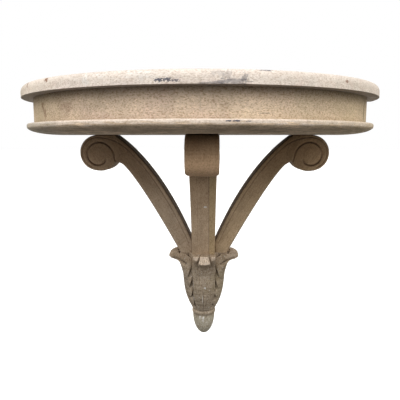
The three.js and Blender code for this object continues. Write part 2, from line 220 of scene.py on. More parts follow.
def normals(mesh):
    """The vertex normals of a mesh as rows."""
    flat = np.empty(len(mesh.vertices) * 3)
    mesh.vertices.foreach_get("normal", flat)
    return flat.reshape(-1, 3)


def set_places(mesh, rows):
    """Moves the vertices of a mesh."""
    mesh.vertices.foreach_set("co", rows.astype(np.float32).ravel())
    mesh.update()


def set_attribute(mesh, name, values):
    """Keeps one number for each vertex for the materials to read."""
    layer = mesh.attributes.get(name) or mesh.attributes.new(name, "FLOAT", "POINT")
    layer.data.foreach_set("value", values.astype(np.float32))


def fade(values, low, high):
    """Values spread from 0 at low to 1 at high, with soft ends."""
    share = np.clip((values - low) / (high - low), 0, 1)
    return share * share * (3 - 2 * share)


# Boards

FLAT_START = 0.55
TOP_ARRIS_RUN = 1 * MM
TOP_ARRIS_RISE = 0.6 * MM
TOP_EDGE_RINGS = (3 * MM, 5.5 * MM, 8 * MM)
TOP_ROUND_STEPS = 14
FRIEZE_STEPS = 14
THUMB_STEPS = 24
LIP_STEPS = 8
BACK_FACE = -1e-5
TOP_WEAR_REACH = 14 * MM
TOP_WEAR_SEED = 0.0
LIP_WEAR_REACH = 8 * MM
LIP_WEAR_SEED = 5.0
WAVES_PER_METRE = (22, 22, 60)
WAVE_SHARE = 0.45
NICKS_PER_METRE = (140, 140, 160)
NICK_SHARE = 1.2
NICK_LEVEL = 0.35


def arc(centre_radius, centre_height, run, rise, start, end, steps):
    """Points of an edge profile along part of an ellipse."""
    angles = [math.radians(start + (end - start) * i / steps) for i in range(steps + 1)]
    return [(centre_radius + run * math.cos(a), centre_height + rise * math.sin(a)) for a in angles]


def oval_board(name, edge, rim, sides):
    """A half-oval board: a cut oval is extruded ring by ring through its rim's profile, from flat to flat."""
    flat = FLAT_START * edge
    profile = [(flat, rim[0][1]), *rim, (flat, rim[-1][1])]
    deselect()
    radius, height = profile[0]
    bpy.ops.mesh.primitive_circle_add(vertices=sides, radius=radius, location=(0, 0, 0))
    board = bpy.context.object
    board.name = name
    bpy.ops.object.mode_set(mode="EDIT")
    bpy.ops.mesh.select_all(action="SELECT")
    bpy.ops.transform.resize(value=(1, PLAN_RATIO, 1), center_override=(0, 0, 0))
    bpy.ops.transform.translate(value=(0, 0, height))
    bpy.ops.mesh.bisect(plane_co=(0, 0, 0), plane_no=(0, 1, 0), clear_outer=True)
    bpy.ops.mesh.select_all(action="SELECT")
    bpy.ops.mesh.edge_face_add()
    for next_radius, next_height in profile[1:]:
        grow = next_radius / radius
        bpy.ops.mesh.extrude_region_move()
        bpy.ops.transform.resize(value=(grow, grow, 1), center_override=(0, 0, height))
        bpy.ops.transform.translate(value=(0, 0, next_height - height))
        radius, height = next_radius, next_height
    bpy.ops.mesh.select_all(action="SELECT")
    bpy.ops.mesh.remove_doubles(threshold=WELD)
    bpy.ops.mesh.normals_make_consistent(inside=False)
    bpy.ops.object.mode_set(mode="OBJECT")
    return board


def wear_at(row, per_metre, seed):
    """How worn a point is, from -1 to 1, in a pattern of a given fineness."""
    x, y, z = (c * p for c, p in zip(row, per_metre))
    return noise.noise(Vector((x, y, z + seed)))


def wear_rim(board, rim_radius, reach, depth, seed):
    """Wears the rim of a board inwards in soft waves and small nicks, never outwards."""
    rows = places(board.data)
    for row in rows:
        radius = math.hypot(row[0], row[1] / PLAN_RATIO)
        if row[1] > BACK_FACE or radius < rim_radius - reach:
            continue
        wave = 0.5 + 0.5 * wear_at(row, WAVES_PER_METRE, seed)
        nick = max(0.0, wear_at(row, NICKS_PER_METRE, seed) - NICK_LEVEL)
        row[:2] *= 1 - (WAVE_SHARE * wave + NICK_SHARE * nick) * depth / radius
    set_places(board.data, rows)


# Carved pieces

HOLLOW_SCALE = 7.2 * MM
HOLLOW_PASSES = 2


def carved_copy(node, name, grid, smoothing):
    """A copy of a solid with an even fine mesh and softened, hand-worn edges."""
    piece = bpy.data.objects.new(name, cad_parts[node].data.copy())
    bpy.context.scene.collection.objects.link(piece)
    pick(piece)
    bpy.ops.object.mode_set(mode="EDIT")
    bpy.ops.mesh.select_all(action="SELECT")
    bpy.ops.mesh.remove_doubles(threshold=WELD)
    bpy.ops.object.mode_set(mode="OBJECT")
    apply_modifier(piece, "REMESH", mode="VOXEL", voxel_size=grid)
    apply_modifier(piece, "SMOOTH", factor=SMOOTH_FACTOR, iterations=smoothing)
    return piece


def neighbour_mean(mesh, values):
    """The mean of each vertex's neighbours, along the edges."""
    ends = np.empty(len(mesh.edges) * 2, dtype=np.int64)
    mesh.edges.foreach_get("vertices", ends)
    a, b = ends.reshape(-1, 2).T
    count = np.bincount(np.concatenate([a, b]), minlength=len(mesh.vertices))
    total = np.stack([
        np.bincount(a, weights=column[b], minlength=len(count))
        + np.bincount(b, weights=column[a], minlength=len(count))
        for column in values.T
    ], axis=1)
    return total / np.maximum(count, 1)[:, None]


def mark_hollows(piece, grid):
    """Keeps how hollow and how raised each place is, for the dirty hollows and for wear."""
    mesh = piece.data
    rows = places(mesh)
    lean = ((neighbour_mean(mesh, rows) - rows) * normals(mesh)).sum(axis=1, keepdims=True) / grid ** 2
    for _ in range(HOLLOW_PASSES):
        lean = (lean + neighbour_mean(mesh, lean)) / 2
    set_attribute(mesh, "hollow", np.clip(lean[:, 0] * HOLLOW_SCALE, 0, 1))
    set_attribute(mesh, "raised", np.clip(-lean[:, 0] * HOLLOW_SCALE, 0, 1))


# Materials

MIX_A = 6
MIX_B = 7
MIX_OUT = 2
WHITE = (1, 1, 1, 1)

# Tints that the layers of a weathered wood multiply its colour by
BLOTCH_TINT = (0.68, 0.66, 0.62)
GRAIN_TINT = (0.62, 0.6, 0.56)
PORE_TINT = (0.6, 0.53, 0.46)
CHALK_TINT = (1.32, 1.34, 1.36)
FACET_TINT = (0.96, 0.95, 0.78)
# Painted light: tint of the roll where it faces down
PAINTED_LIGHT_TINT = (1.55, 1.4, 1.27)

# Sizes of the wood's patterns, in millimetres
BROAD_SIZE = 70
DRIFT_SIZE = 40
BLOTCH_SIZE = 14
CHALK_SIZE = 3.3
GRAIN_SIZE = 2.8
PORE_SIZE = 2.2
RIM_SPOT_DEPTH = 25

# Where a cloudy noise counts as lowest and highest, the shares of the layers, and the wood's surface
CLOUD_LOW = 0.3
CLOUD_HIGH = 0.7
DRIFT_SWAY = 40 * MM
BLOTCH_SHARE = 0.6
GRAIN_SHARE = 0.75
CHALK_SHARE = 0.6
BROAD_DARK = 0.5
BROAD_PALE = 0.35
SPOT_CLOUD = 2.2
SPOT_SOLID = 0.7
CLOUD_ROUGHNESS = 0.6
ROUGHNESS_SPREAD = 0.08
MATT_SPECULAR = 0.2
RELIEF_STRENGTH = 0.5

# Which way the grain runs
ALONG_WALL = (0, 0, 0)
UPRIGHT = (0, math.pi / 2, 0)


def add(tree, kind, inputs=None, **options):
    """Adds a node with its options; an input is linked if it is a socket and set if it is a value."""
    node = tree.nodes.new(kind)
    for key, value in options.items():
        setattr(node, key, value)
    for key, value in (inputs or {}).items():
        if isinstance(value, bpy.types.NodeSocket):
            tree.links.new(value, node.inputs[key])
        else:
            node.inputs[key].default_value = value
    return node


def shade(base, factor):
    """A colour made darker or paler."""
    return tuple(min(1.0, c * factor) for c in base)


def tinted(base, tint):
    """A colour multiplied by a tint."""
    return tuple(min(1.0, c * t) for c, t in zip(base, tint))


class WoodLayers:
    """The shared make-up of a weathered wood: broad tone, blotches, grain, pores and relief."""

    def __init__(self, name, base, grain_turn, contrast, speckle):
        self.material = bpy.data.materials.new(name)
        self.material.use_nodes = True
        self.tree = self.material.node_tree
        self.shader = self.tree.nodes["Principled BSDF"]
        self.coords = add(self.tree, "ShaderNodeTexCoord").outputs["Object"]
        self.across, _, self.height = add(self.tree, "ShaderNodeSeparateXYZ", {0: self.coords}).outputs
        self.grain_turn = grain_turn
        self.contrast = contrast
        self.speckle = speckle
        self.colour = (*shade(base, 1 - BROAD_DARK * contrast), 1)
        broad = self.patches(BROAD_SIZE, low=0.35, high=0.65, detail=3, stretch=(2, 1, 1))
        self.lay(broad, shade(base, 1 + BROAD_PALE * contrast))

    def patches(self, size, low, high, detail, stretch=(1, 1, 1), shift=0.0, sway=None):
        """Soft patches of a real size in millimetres along the grain: 0 to 1, or a sway to each side."""
        mapping = {
            "Vector": self.coords,
            "Location": (shift,) * 3,
            "Rotation": self.grain_turn,
            "Scale": tuple(size * MM * s for s in stretch),
        }
        place = add(self.tree, "ShaderNodeMapping", mapping, vector_type="TEXTURE").outputs[0]
        cloud = {"Vector": place, "Scale": 1, "Detail": detail, "Roughness": CLOUD_ROUGHNESS}
        tone = add(self.tree, "ShaderNodeTexNoise", cloud).outputs[0]
        bottom, top = (0, 1) if sway is None else (-sway, sway)
        spread = {"Value": tone, "From Min": low, "From Max": high, "To Min": bottom, "To Max": top}
        return add(self.tree, "ShaderNodeMapRange", spread).outputs[0]

    def band(self, start, full, ragged=0.0):
        """A factor that grows from one height to another, along a straight or a ragged edge."""
        place = add(self.tree, "ShaderNodeMath", {0: self.height, 1: ragged}, operation="ADD").outputs[0]
        growth = {"Value": place, "From Min": start, "From Max": full}
        return add(self.tree, "ShaderNodeMapRange", growth).outputs[0]

    def facing(self, start, full):
        """A factor that grows as the piece faces up (to 1) or down (to -1)."""
        normal = add(self.tree, "ShaderNodeNewGeometry").outputs["Normal"]
        up = add(self.tree, "ShaderNodeSeparateXYZ", {0: normal}).outputs["Z"]
        growth = {"Value": up, "From Min": start, "From Max": full}
        return add(self.tree, "ShaderNodeMapRange", growth).outputs[0]

    def lay(self, factor, over, strength=1.0, blend="MIX"):
        """Lays a colour over what is there, by a factor."""
        share = add(self.tree, "ShaderNodeMath", {0: factor, 1: strength}, operation="MULTIPLY").outputs[0]
        layer = {0: share, MIX_A: self.colour, MIX_B: (*over, 1)}
        mixed = add(self.tree, "ShaderNodeMix", layer, data_type="RGBA", blend_type=blend)
        self.colour = mixed.outputs[MIX_OUT]

    def lay_where(self, kept, over, strength):
        """Lays a colour where a number kept on the mesh's vertices is high."""
        factor = add(self.tree, "ShaderNodeAttribute", attribute_name=kept).outputs["Fac"]
        self.lay(factor, over, strength)

    def tint(self, factor, tint, strength):
        """Multiplies what is there by a tint, by a factor."""
        self.lay(factor, tint, strength, "MULTIPLY")

    def drift(self, start, full, over, strength):
        """Lays a colour that grows from one place along the wall to another, in millimetres."""
        ragged = self.patches(DRIFT_SIZE, CLOUD_LOW, CLOUD_HIGH, detail=4, sway=DRIFT_SWAY)
        place = add(self.tree, "ShaderNodeMath", {0: self.across, 1: ragged}, operation="ADD").outputs[0]
        growth = {"Value": place, "From Min": start * MM, "From Max": full * MM}
        self.lay(add(self.tree, "ShaderNodeMapRange", growth).outputs[0], over, strength)

    def spot(self, centre, size, over, strength, ragged=0.5):
        """Lays a ragged spot of a given half size about a place on the piece, in millimetres."""
        mapping = {
            "Vector": self.coords,
            "Location": tuple(-c / s for c, s in zip(centre, size)),
            "Scale": tuple(1 / (s * MM) for s in size),
        }
        local = add(self.tree, "ShaderNodeMapping", mapping).outputs[0]
        away = add(self.tree, "ShaderNodeVectorMath", {0: local}, operation="LENGTH").outputs["Value"]
        cloud = {"Vector": local, "Scale": SPOT_CLOUD, "Detail": 5}
        tone = add(self.tree, "ShaderNodeTexNoise", cloud).outputs[0]
        sway = {
            "Value": tone, "From Min": CLOUD_LOW, "From Max": CLOUD_HIGH, "To Min": -ragged, "To Max": ragged
        }
        shift = add(self.tree, "ShaderNodeMapRange", sway).outputs[0]
        total = add(self.tree, "ShaderNodeMath", {0: away, 1: shift}, operation="ADD").outputs[0]
        inside = {"Value": total, "From Min": 1, "From Max": SPOT_SOLID}
        self.lay(add(self.tree, "ShaderNodeMapRange", inside).outputs[0], over, strength)

    def rim_spots(self, rim, marks, over, ragged=0.5):
        """Lays spots on a board's rim, each placed along the wall and in height."""
        for (across, height), (half_width, half_height), strength in marks:
            depth = PLAN_RATIO * math.sqrt(max(0.0, rim ** 2 - (across * MM) ** 2)) / MM
            size = (half_width, RIM_SPOT_DEPTH, half_height)
            self.spot((across, -depth, height), size, over, strength, ragged)

    def close(self, roughness, relief):
        """Lays the fine texture over all and joins it to the shader: matt, dry wood with open grain."""
        # Grain and pores are drawn coarser than in real wood, so that they show in the picture
        grain = self.patches(GRAIN_SIZE, low=0.35, high=0.66, detail=4, stretch=(12, 1, 1))
        blotches = self.patches(BLOTCH_SIZE, low=0.45, high=0.7, detail=4, stretch=(1.8, 1, 1))
        pores = self.patches(PORE_SIZE, low=0.48, high=0.66, detail=2, stretch=(1.7, 1, 1))
        chalk = self.patches(CHALK_SIZE, low=0.52, high=0.66, detail=2, stretch=(1.5, 1, 1), shift=0.3)
        self.tint(blotches, BLOTCH_TINT, BLOTCH_SHARE * self.contrast)
        self.tint(grain, GRAIN_TINT, GRAIN_SHARE * self.contrast)
        self.tint(pores, PORE_TINT, self.speckle)
        self.tint(chalk, CHALK_TINT, CHALK_SHARE * self.speckle)
        dullness = {
            "Value": grain, "To Min": roughness - ROUGHNESS_SPREAD, "To Max": roughness + ROUGHNESS_SPREAD
        }
        rough = add(self.tree, "ShaderNodeMapRange", dullness).outputs[0]
        bumps = {"Strength": RELIEF_STRENGTH, "Distance": relief * MM, "Height": grain}
        bump = add(self.tree, "ShaderNodeBump", bumps).outputs[0]
        self.tree.links.new(self.colour, self.shader.inputs["Base Color"])
        self.tree.links.new(rough, self.shader.inputs["Roughness"])
        self.tree.links.new(bump, self.shader.inputs["Normal"])
        self.shader.inputs["Specular IOR Level"].default_value = MATT_SPECULAR
        return self.material


# Marks on the boards' rims: place along the wall and height, half width and half height, strength
TOP_INK = (
    ((-56, 33.5), (8, 3.2), 0.9), ((-42, 34), (8, 3.4), 0.85), ((-29, 32.5), (7, 2.4), 0.75),
    ((30, 28.5), (26, 2.2), 0.5), ((62, 31), (30, 5), 0.5), ((82, 36), (6, 8), 0.45),
    ((54, 39), (10, 10), 0.25), ((40, 44), (14, 5), 0.2), ((116, 50), (11, 1.4), 0.85),
)
TOP_CHIPS = (((-271, 46), (5.5, 4.5), 0.85), ((-329, 44), (2.2, 7), 0.85), ((268, 41), (4, 3), 0.7))
TOP_LIME = (((-184, 38), (6, 10), 0.45), ((-160, 44), (16, 4), 0.35), ((-90, 42), (26, 7), 0.3))
FRIEZE_STREAKS = (((-301, 3), (5, 9), 0.55), ((-294, -11), (5, 10), 0.5), ((-236, -2), (22, 9), 0.3))
FRIEZE_LINES = (((338, -3), (1.4, 26), 0.75), ((118, -17), (14, 1.4), 0.35), ((10, -2), (1.2, 15), 0.15))
LIP_INK = (((57, -30.5), (6, 1.5), 0.9), ((70, -30.5), (8, 1.7), 0.9), ((90, -31), (6, 1.2), 0.6))

# Marks on the carved pieces: place and half sizes, in millimetres; the runs of paint have a strength too
PENDANT_PAINT = (
    ((14.8, -82, -402), (2.2, 30, 3.4), 0.85), ((9.7, -54, -488), (2.8, 30, 9), 0.85),
    ((2.5, -54, -483), (2.2, 30, 5), 0.5), ((-13.4, -70, -399), (0.9, 30, 12), 0.45),
    ((-12.2, -72, -432), (1.2, 30, 10), 0.55), ((8.9, -76, -434), (0.9, 30, 14), 0.5),
)
ARM_PAINT_DRIP = ((15.5, -100, -205), (4, 80, 1.8))
RUBBED_CURL = ((83, -30, -330), (22, 45, 16))
LEAF_KNOT = ((5.4, -76, -433), (1.8, 30, 2.2))

# Heights between which a colour grows
# Painted shade: the top's rounded edge darkens towards its crown, against the strong light from above
TOP_CROWN_SHADE = (TOP_HIGH.z - 16 * MM, TOP_HIGH.z - 2 * MM)
# Painted shade under the top board's overhang
UNDER_TOP_SHADE = (FRIEZE_HIGH.z - 22 * MM, FRIEZE_HIGH.z)
# Painted shade down by the lower board's lip
ON_LIP_SHADE = (FRIEZE_LOW.z + 9 * MM, FRIEZE_LOW.z)
PALE_LIP = (LOWER_HIGH.z - 9 * MM, LOWER_HIGH.z - 4 * MM)
# Browner wood with painted shade: the brackets darken from here up towards the scrolls under the boards
NEAR_SCROLL_BROWN_SHADE = (-230 * MM, -90 * MM)
ACORN = (COLLAR_Z, COLLAR_Z - 12 * MM)
LEAF_CUP = (SEAT_Z - 45 * MM, SEAT_Z - 12 * MM)
LIP_SWAY = 6 * MM


def limed_top_wood(colours):
    """Limed wood: pale and chalky, with ink stains and small brown chips along its edge, and painted shade on
    its crown, its upper face and its underside.
    """
    wood = WoodLayers("Limed wood", colours.top, ALONG_WALL, contrast=0.35, speckle=0.65)
    lime = wood.patches(size=9, low=0.45, high=0.75, detail=5, stretch=(3, 1, 0.5))
    wood.lay(lime, shade(colours.top, 1.2), strength=0.4)
    wood.drift(start=-210, full=-370, over=colours.olive, strength=0.3)
    wood.drift(start=60, full=320, over=colours.olive, strength=0.2)
    flush = wood.patches(size=15, low=0.48, high=0.68, detail=5, stretch=(2.5, 1, 1), shift=0.9)
    wood.lay(flush, shade(colours.blush, 0.95), strength=0.3)
    # Painted shade on the rounded edge, darker towards its crown
    wood.lay(wood.band(*TOP_CROWN_SHADE), shade(colours.top, 0.64), strength=0.75)
    # Painted shade: the face that looks straight up is darkened against the light from above
    wood.lay(wood.facing(start=0.9, full=0.99), shade(colours.top, 0.5), strength=0.75)
    # Painted shade on the underside
    wood.lay(wood.facing(start=-0.5, full=-0.9), colours.grime, strength=0.6)
    wood.rim_spots(TOP_HIGH.x, TOP_LIME, colours.paint, ragged=0.8)
    wood.rim_spots(TOP_HIGH.x, TOP_INK, colours.ink, ragged=0.75)
    wood.rim_spots(TOP_HIGH.x, TOP_CHIPS, colours.rust)
    return wood.close(roughness=0.8, relief=0.2)


def bleached_frieze_wood(colours):
    """Bleached wood: warm beige with fine dark pores, brown streaks and a joint line by one end, with painted
    shade under the top board and above the lip.
    """
    wood = WoodLayers("Bleached wood", colours.frieze, ALONG_WALL, contrast=0.4, speckle=0.9)
    flush = wood.patches(size=50, low=0.42, high=0.6, detail=3, stretch=(2, 1, 1), shift=0.7)
    wood.lay(flush, colours.blush, strength=0.35)
    wood.drift(start=-150, full=-330, over=colours.olive, strength=0.5)
    wood.drift(start=20, full=300, over=shade(colours.olive, 1.2), strength=0.5)
    # Painted shade under the top board's overhang
    wood.lay(wood.band(*UNDER_TOP_SHADE), colours.dirt_and_shade, strength=0.55)
    # Painted shade down by the lower board's lip
    wood.lay(wood.band(*ON_LIP_SHADE), colours.dirt_and_shade, strength=0.2)
    wood.rim_spots(FRIEZE_HIGH.x, FRIEZE_STREAKS, colours.rust, ragged=0.6)
    wood.rim_spots(FRIEZE_HIGH.x, FRIEZE_LINES, colours.dirt_and_shade, ragged=0.3)
    return wood.close(roughness=0.86, relief=0.2)


def worn_lower_wood(colours):
    """Bleached wood with a lip worn pale by handling, and a streaky brown underside darkened with painted
    shade.
    """
    wood = WoodLayers("Worn lip wood", colours.lower, ALONG_WALL, contrast=0.5, speckle=0.6)
    fibres = wood.patches(size=2.6, low=0.42, high=0.58, detail=5, stretch=(14, 14, 1))
    wood.lay(fibres, shade(colours.lower, 0.5), strength=0.7)
    ragged = wood.patches(
        size=5, low=CLOUD_LOW, high=CLOUD_HIGH, detail=5, stretch=(5, 5, 0.6), sway=LIP_SWAY
    )
    wood.lay(wood.band(*PALE_LIP, ragged), colours.lip, strength=0.95)
    wood.drift(start=-230, full=-370, over=colours.silver, strength=0.7)
    wood.drift(start=120, full=340, over=colours.olive, strength=0.35)
    # Painted shade on the underside
    wood.lay(wood.facing(start=-0.5, full=-0.95), colours.grime, strength=0.15)
    wood.rim_spots(LOWER_HIGH.x, LIP_INK, colours.ink)
    return wood.close(roughness=0.86, relief=0.25)


def weathered_bracket_wood(colours, form):
    """Weathered wood: dry grey-brown, browner and darker towards the scrolls with painted shade, grimy and
    dark with painted shade where it faces up, dirty in the carving, paler on its arrises, with painted light
    under the roll.
    """
    base = tinted(colours.bracket, form.tint)
    wood = WoodLayers("Weathered wood " + form.name, base, form.grain_turn, contrast=0.5, speckle=0.6)
    # Browner and darker towards the scrolls: browner wood, and painted shade under the boards
    wood.lay(wood.band(*NEAR_SCROLL_BROWN_SHADE), colours.umber, strength=0.55)
    # Painted light: the roll paler where it faces down
    wood.lay_where("rubbed", tinted(base, PAINTED_LIGHT_TINT), form.rubbed)
    wood.lay_where("facet", tinted(base, FACET_TINT), strength=0.8)
    wood.lay_where("facet_line", colours.dirt_and_shade, strength=0.35)
    wood.lay_where("raised", shade(base, 1.45), strength=0.3)
    # Grimy where the bracket faces up, with painted shade there under the boards
    wood.lay_where("grime", colours.grime, strength=0.9)
    wood.lay_where("hollow", colours.dirt_and_shade, strength=0.6)
    wood.spot(*ARM_PAINT_DRIP, colours.paint, strength=0.9)
    return wood.close(roughness=0.85, relief=0.25)


def carved_pendant_wood(colours):
    """Carved wood: grey-brown, dirty in the hollows, with bare pale leaf tips and paint specks."""
    base = tuple(colours.pendant)
    wood = WoodLayers("Carved wood", base, UPRIGHT, contrast=0.6, speckle=0.95)
    tool_marks = wood.patches(size=4.4, low=0.45, high=0.62, detail=3, stretch=(1, 6, 6), shift=0.5)
    wood.tint(tool_marks, GRAIN_TINT, strength=0.75)
    wood.drift(start=25, full=60, over=shade(colours.olive, 0.6), strength=0.4)
    wood.lay(wood.band(*ACORN), shade(colours.silver, 1.42), strength=0.5)
    wood.lay(wood.band(*LEAF_CUP), shade(colours.bracket, 0.84), strength=0.8)
    wood.lay_where("raised", shade(base, 1.5), strength=0.45)
    wood.lay_where("hollow", colours.dirt_and_shade, strength=0.85)
    wood.lay_where("bare", colours.bare, strength=0.95)
    wood.lay(wood.patches(size=3.6, low=0.66, high=0.7, detail=2), colours.paint, strength=0.6)
    for centre, size, strength in PENDANT_PAINT:
        wood.spot(centre, size, colours.paint, strength)
    wood.spot(*RUBBED_CURL, colours.bare, strength=0.35)
    wood.spot(*LEAF_KNOT, colours.dirt_and_shade, strength=0.85)
    return wood.close(roughness=0.85, relief=0.25)


def floor_finish(colours):
    """Plain pale floor, matt."""
    material = bpy.data.materials.new("Pale floor")
    material.use_nodes = True
    shader = material.node_tree.nodes["Principled BSDF"]
    shader.inputs["Base Color"].default_value = (*colours.floor, 1)
    shader.inputs["Roughness"].default_value = 0.9
    return material


# Brackets, carved by their side view: reach from the pendant's axis, and height

# A bracket's node, name, turn about the pendant's axis and reach, the run of its grain, the tint of
# its wood, how steeply it faces up where it is fully grimy and in painted shade, how strongly its roll
# is painted paler below as painted light, and whether its arm has a yellowed facet
Bracket = namedtuple("Bracket", "node name turn reach grain_turn tint full_grime rubbed facet")
SIDE_REACH = 242 * MM
CENTRE_REACH = 172 * MM
BRACKETS = (
    Bracket("left_bracket", "left_scroll", math.pi, SIDE_REACH, (0, 1.0, 0), (0.98, 1.0, 1.04), 0.5, 0.6, 0),
    Bracket(
        "centre_bracket", "centre_scroll", math.pi / 2, CENTRE_REACH, UPRIGHT, (1.07, 1.05, 1.03), 1.9, 1.0, 1
    ),
    Bracket("right_bracket", "right_scroll", 0.0, SIDE_REACH, (0, -1.0, 0), (1.0, 0.98, 0.9), 0.5, 0.6, 0),
)
BRACKET_SMOOTHING = 4
SCROLL_RADIUS = 40.5 * MM
SCROLL_MIDDLE = BRACKET_TOP - SCROLL_RADIUS
SCROLL_BOTTOM = BRACKET_TOP - 2 * SCROLL_RADIUS
ARM_TOP_SETBACK = 42 * MM
ARM_BEND_SHARE = 0.44
ARM_BEND_DROP = 70 * MM
ARM_FOOT_REACH = 26.5 * MM
ARM_FOOT_DROP = 246 * MM
LINE_STEPS = 160
LINE_START = 0.14
LINE_FADE = LINE_STEPS / 3
LINE_ROLL_TOP = 92
LINE_ROLL_END = -120
ON_SIDE = 0.8
ON_FRONT = 0.3
EDGE_FACING = (0.1, 0.98)
EDGE_PASSES = 6
GROOVE_PASSES = 10
SCROLL_FACE = 0.86
FACET_FADE = 12 * MM
FACET_SOFT = 1 * MM
FACET_LINE_WIDTH = 1.1 * MM
# How steeply a bracket faces up where it starts to be grimy and in painted shade
GRIME_AND_SHADE_START = 0.02
# How a roll faces where its painted light, paler below, grows from none to full
PAINTED_LIGHT_FACING = (-0.3, 0.7)


def side_view(rows, turn):
    """Reach, height and thickness of points on a bracket that is turned about the pendant's axis."""
    across = rows[:, 0] - SUPPORT_X
    out = AXIS_Y - rows[:, 1]
    reach = math.cos(turn) * across + math.sin(turn) * out
    side = math.cos(turn) * out - math.sin(turn) * across
    return np.stack([reach, rows[:, 2]], axis=1), side


def side_axis(turn):
    """The direction across a bracket."""
    return np.array([-math.sin(turn), -math.cos(turn), 0.0])


def out_axis(turn):
    """The direction that a bracket reaches in."""
    return np.array([math.cos(turn), -math.sin(turn), 0.0])


def unit(vector):
    """A vector of length one."""
    return vector / np.linalg.norm(vector)


def bent_line(start, bend, end, share):
    """Points at shares of the way along a line from start to end that a third point bends."""
    share = share[:, None]
    return (1 - share) ** 2 * start + 2 * share * (1 - share) * bend + share ** 2 * end


def smooth_join(start, leave, arrive, end):
    """Points of a line that leaves one line smoothly and joins another."""
    share = np.linspace(0, 1, LINE_STEPS)[:, None]
    first = (1 - share) ** 3 * start + 3 * share * (1 - share) ** 2 * leave
    return first + 3 * share ** 2 * (1 - share) * arrive + share ** 3 * end


def arm_line(reach, inset):
    """The incised line inside the arm's upper edge, from the scroll down to the foot."""
    top_reach = reach - ARM_TOP_SETBACK
    bend_reach = ARM_FOOT_REACH + ARM_BEND_SHARE * (top_reach - ARM_FOOT_REACH)
    start = np.array([top_reach, BRACKET_TOP])
    bend = np.array([bend_reach, BRACKET_TOP - ARM_BEND_DROP])
    end = np.array([ARM_FOOT_REACH, BRACKET_TOP - ARM_FOOT_DROP])
    edge = bent_line(start, bend, end, np.linspace(LINE_START, 1, LINE_STEPS))
    tangent = np.gradient(edge, axis=0)
    outward = np.stack([-tangent[:, 1], tangent[:, 0]], axis=1)
    return edge + inset * outward / np.linalg.norm(outward, axis=1, keepdims=True)


def roll_line(reach, inset):
    """The incised line round the scroll."""
    angle = np.radians(np.linspace(LINE_ROLL_TOP, LINE_ROLL_END, LINE_STEPS))
    centre = np.array([reach, SCROLL_MIDDLE])
    return centre + (SCROLL_RADIUS - inset) * np.stack([np.cos(angle), np.sin(angle)], axis=1)


def incised_line(reach, sizes):
    """The whole incised line in side view: round the scroll, then down the arm."""
    arm = arm_line(reach, sizes.arm_inset)
    roll = roll_line(reach, sizes.roll_inset)
    run = np.linalg.norm(arm[0] - roll[0]) / 3
    leave = roll[0] + run * unit(roll[0] - roll[1])
    arrive = arm[0] - run * unit(arm[1] - arm[0])
    return np.concatenate([roll[::-1], smooth_join(roll[0], leave, arrive, arm[0]), arm])


def distance_to(points, line):
    """The distance from each point to a line, and how far along the line the nearest place is."""
    tree = KDTree(len(line))
    for i, (x, y) in enumerate(line):
        tree.insert((x, y, 0), i)
    tree.balance()
    found = [tree.find((x, y, 0)) for x, y in points]
    return np.array([near for _, _, near in found]), np.array([i for _, i, _ in found])


def soften(piece, chosen, passes):
    """Smooths the chosen vertices of a piece and leaves the rest alone."""
    group = piece.vertex_groups.new(name="worn")
    group.add(np.flatnonzero(chosen).tolist(), 1.0, "REPLACE")
    apply_modifier(piece, "SMOOTH", factor=SMOOTH_FACTOR, iterations=passes, vertex_group=group.name)
    piece.vertex_groups.clear()


def soften_edges(piece, form):
    """Rounds the long edges of a bracket as handling has, and its spiral groove more."""
    facing = np.abs(normals(piece.data) @ side_axis(form.turn))
    low, high = EDGE_FACING
    soften(piece, (facing > low) & (facing < high), EDGE_PASSES)
    flat, _ = side_view(places(piece.data), form.turn)
    from_eye = np.linalg.norm(flat - [form.reach, SCROLL_MIDDLE], axis=1)
    soften(piece, from_eye < SCROLL_FACE * SCROLL_RADIUS, GROOVE_PASSES)


def round_corners(piece, form, sizes):
    """Draws in the lower corners of a scroll's roll."""
    rows = places(piece.data)
    flat, side = side_view(rows, form.turn)
    share = np.clip(1 - (flat[:, 1] - SCROLL_BOTTOM) / sizes.corner_round, 0, 1)
    share[flat[:, 0] < form.reach - SCROLL_RADIUS / 2] = 0
    draw = sizes.corner_round * (1 - np.sqrt(1 - share ** 2)) * side / np.abs(side).max()
    set_places(piece.data, rows - draw[:, None] * side_axis(form.turn))


def carve_bracket(piece, form, sizes):
    """Cuts the incised lines into a bracket's side faces and down the front of its arm."""
    rows = places(piece.data)
    facing = normals(piece.data)
    flat, side = side_view(rows, form.turn)
    cut = np.zeros(len(rows))
    on_side = np.abs(facing @ side_axis(form.turn)) > ON_SIDE
    near, place = distance_to(flat[on_side], incised_line(form.reach, sizes))
    cut[on_side] = sizes.line_depth * np.exp(-(2 * near / sizes.line_width) ** 2)
    cut[on_side] *= fade(place, 0, LINE_FADE)
    on_front = (facing @ out_axis(form.turn) > ON_FRONT) & (flat[:, 0] < form.reach - ARM_TOP_SETBACK)
    near = np.abs(np.abs(side[on_front]) - sizes.front_line)
    cut[on_front] = sizes.front_depth * np.exp(-(2 * near / sizes.line_width) ** 2)
    set_places(piece.data, rows - facing * cut[:, None])


def mark_grime_and_shade(piece, form):
    """Keeps where a bracket faces up, where it is grimy and in painted shade, and where its roll is painted
    paler below as painted light.
    """
    upward = normals(piece.data)[:, 2]
    flat, _ = side_view(places(piece.data), form.turn)
    on_roll = fade(flat[:, 0], form.reach - SCROLL_RADIUS, form.reach)
    set_attribute(piece.data, "grime", fade(upward, GRIME_AND_SHADE_START, form.full_grime))
    set_attribute(piece.data, "rubbed", on_roll * fade(-upward, *PAINTED_LIGHT_FACING))


